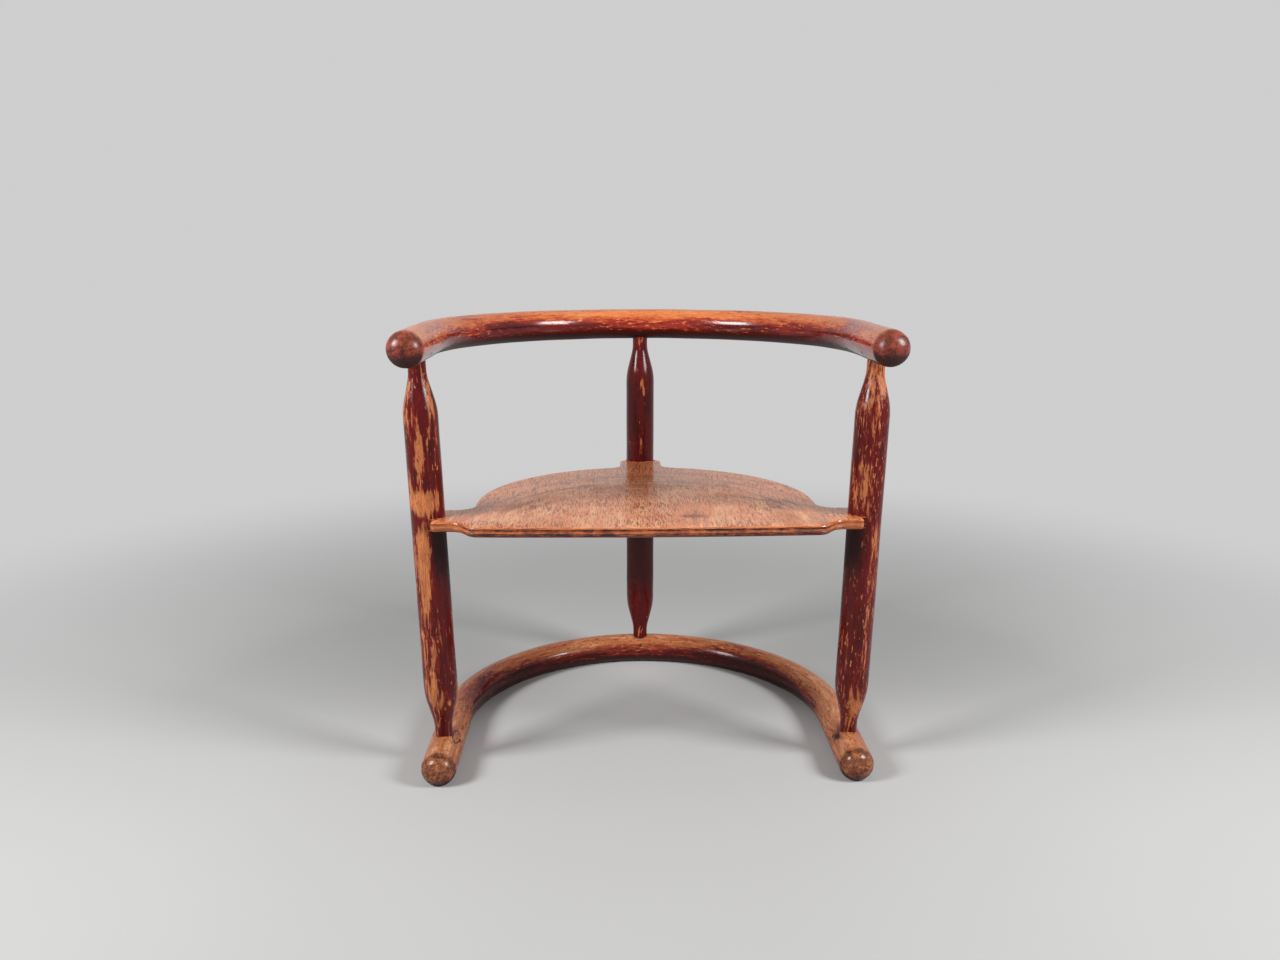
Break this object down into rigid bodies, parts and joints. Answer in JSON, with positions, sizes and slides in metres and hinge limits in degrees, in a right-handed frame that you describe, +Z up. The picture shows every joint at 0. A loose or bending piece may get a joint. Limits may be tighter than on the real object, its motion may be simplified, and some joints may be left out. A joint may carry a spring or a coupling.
{
  "type": "child armchair",
  "caption": "Low child armchair: a bent round base rail and a bent arm and back rail, joined by turned posts that hold a flat plywood seat by its ears.",
  "frame": {"origin": "on the floor, under the middle of the chair's overall box", "axes": "+X to the right as seen from the front, +Y to the back, +Z up"},
  "size_m": [0.438, 0.333, 0.412],
  "materials": {
    "rail_wood": "glossy red-brown lacquer, worn along the grain to orange wood",
    "post_wood": "glossy dark red lacquer, worn in long upright streaks to orange wood",
    "seat_veneer": "worn clear orange-brown lacquer over long-grain veneer",
    "seat_crossband": "end grain of the cross veneers at the seat's edge",
    "pin_steel": "dark with age"
  },
  "bodies": {
    "root": {"base_rail": "rail_wood", "top_rail": "rail_wood", "front_post_left": "post_wood", "front_post_right": "post_wood", "back_post": "post_wood", "seat_face_veneer": "seat_veneer", "seat_crossband_upper": "seat_crossband", "seat_core_veneer": "seat_veneer", "seat_crossband_lower": "seat_crossband", "seat_back_veneer": "seat_veneer", "base_pin_left": "pin_steel", "base_pin_right": "pin_steel", "base_pin_back": "pin_steel", "top_pin_left": "pin_steel", "top_pin_right": "pin_steel", "top_pin_back": "pin_steel"}
  },
  "joints": []
}
